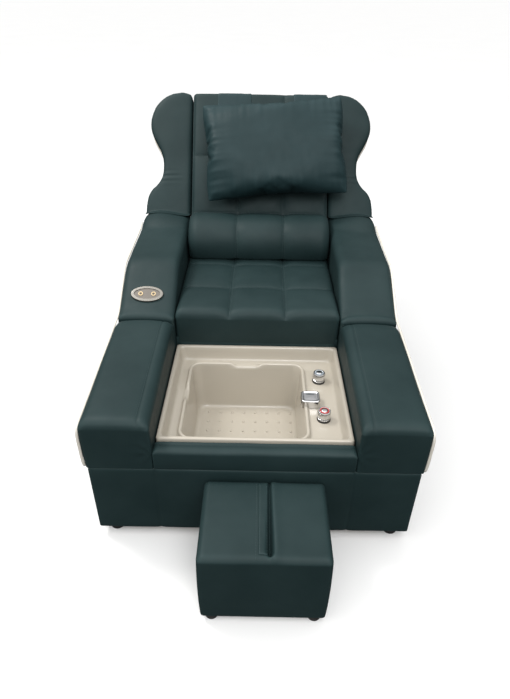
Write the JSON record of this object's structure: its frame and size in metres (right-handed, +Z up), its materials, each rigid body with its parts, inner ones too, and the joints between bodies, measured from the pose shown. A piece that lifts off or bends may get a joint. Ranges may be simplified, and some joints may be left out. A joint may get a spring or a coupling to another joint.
{
  "type": "pedicure spa chair",
  "caption": "Upholstered pedicure chair with a foot tub in front of the seat, water controls, a powered reclining back, a head pillow and a matching footstool.",
  "frame": {"origin": "on the floor, under the middle of the set (chair and footstool)", "axes": "+Z up, the chair faces -Y, +X to the right of someone standing in front of it"},
  "size_m": [0.864, 1.602, 0.9391],
  "materials": {
    "timber": "planed softwood",
    "plywood": "birch plywood",
    "upholstery": "dark petrol-green synthetic leather, fine grain",
    "pillow_leather": "dark petrol-green synthetic leather, soft",
    "cream_piping": "cream piping",
    "cream_acrylic": "glossy cream acrylic",
    "chrome": "polished",
    "brass": "machined",
    "black_rubber": "matt",
    "grey_plastic": "satin",
    "black_plastic": "satin",
    "index_red": "printed disc",
    "index_grey": "printed disc",
    "button_gold": "warm cream and gold",
    "black_steel": "black powder coat",
    "bright_steel": "ground",
    "bright_aluminium": "anodised",
    "cable_black": "PVC sheath"
  },
  "bodies": {
    "chair": {"base_frame": "timber", "deck_board": "plywood", "front_panel": "upholstery", "side_panel_left": "upholstery", "side_panel_right": "upholstery", "rear_panel": "upholstery", "base_feet": "black_rubber", "front_apron": "upholstery", "front_arm_left": "upholstery", "front_arm_right": "upholstery", "upper_arm_left": "upholstery", "upper_arm_right": "upholstery", "arm_core_left": "plywood", "arm_core_right": "plywood", "arm_piping": "cream_piping", "seat_bearers": "timber", "seat_deck": "plywood", "seat_cushion": "upholstery", "basin": "cream_acrylic", "drain_flange": "chrome", "drain_nut": "brass", "drain_pipe": "grey_plastic", "spout": "chrome", "mixing_pipe": "brass", "water_valves": "brass", "valve_seals": "black_rubber", "supply_pipes": "brass", "hinge_brackets": "black_steel", "actuator_bracket": "black_steel", "actuator_gearbox": "black_plastic", "actuator_motor": "black_steel", "actuator_tube": "bright_aluminium", "control_box": "black_plastic", "power_inlet": "black_plastic", "wiring": "cable_black", "switch_bezel": "chrome", "switch_panel": "grey_plastic"},
    "backrest": {"back_cushion": "upholstery", "back_frame": "timber", "back_cover": "upholstery", "wing_left": "upholstery", "wing_right": "upholstery", "wing_piping": "cream_piping", "lumbar_bolster": "upholstery", "side_plates": "black_steel", "recline_lever": "black_steel"},
    "pillow": {"head_pillow": "pillow_leather", "pillow_straps": "pillow_leather"},
    "push_rod": {"actuator_rod": "bright_steel"},
    "hot_control": {"hot_knob": "chrome", "hot_index": "index_red"},
    "cold_control": {"cold_knob": "chrome", "cold_index": "index_grey"},
    "stopper": {"drain_stopper": "chrome"},
    "button_up": {"recline_button_up": "button_gold"},
    "button_down": {"recline_button_down": "button_gold"},
    "footstool": {"stool_core": "plywood", "stool_cover": "upholstery", "stool_pleat": "upholstery", "stool_feet": "black_rubber"}
  },
  "joints": [
    {"name": "backrest_recline", "type": "hinge", "parent": "chair", "child": "backrest", "pos_m": [0, 0.42058, 0.40159], "axis": [-1, 0, 0], "range_deg": [0, 38]},
    {"name": "actuator_extend", "type": "slide", "parent": "chair", "child": "push_rod", "axis": [0, 1, 0], "range_m": [-0.0981, 0]},
    {"name": "head_pillow_lift", "type": "slide", "parent": "backrest", "child": "pillow", "axis": [0, 0.5621, 0.8271], "range_m": [0, 0.25]},
    {"name": "hot_knob_turn", "type": "hinge", "parent": "chair", "child": "hot_control", "pos_m": [0.189, -0.377, 0.3], "axis": [0, 0, 1], "range_deg": [0, 90]},
    {"name": "cold_knob_turn", "type": "hinge", "parent": "chair", "child": "cold_control", "pos_m": [0.189, -0.203, 0.3], "axis": [0, 0, 1], "range_deg": [0, 90]},
    {"name": "drain_stopper_lift", "type": "slide", "parent": "chair", "child": "stopper", "axis": [0, 0, 1], "range_m": [0, 0.01]},
    {"name": "recline_up_press", "type": "slide", "parent": "chair", "child": "button_up", "axis": [0, 0.5137, -0.858], "range_m": [0, 0.002], "stiffness_N_per_m": 400},
    {"name": "recline_down_press", "type": "slide", "parent": "chair", "child": "button_down", "axis": [0, 0.5137, -0.858], "range_m": [0, 0.002], "stiffness_N_per_m": 400},
    {"name": "stool_pull", "type": "slide", "parent": "chair", "child": "footstool", "axis": [0, -1, 0], "range_m": [0, 0.4]}
  ],
  "couplings": [
    {"joint": "actuator_extend", "follows": "backrest_recline", "m_per_rad": -0.14727}
  ]
}
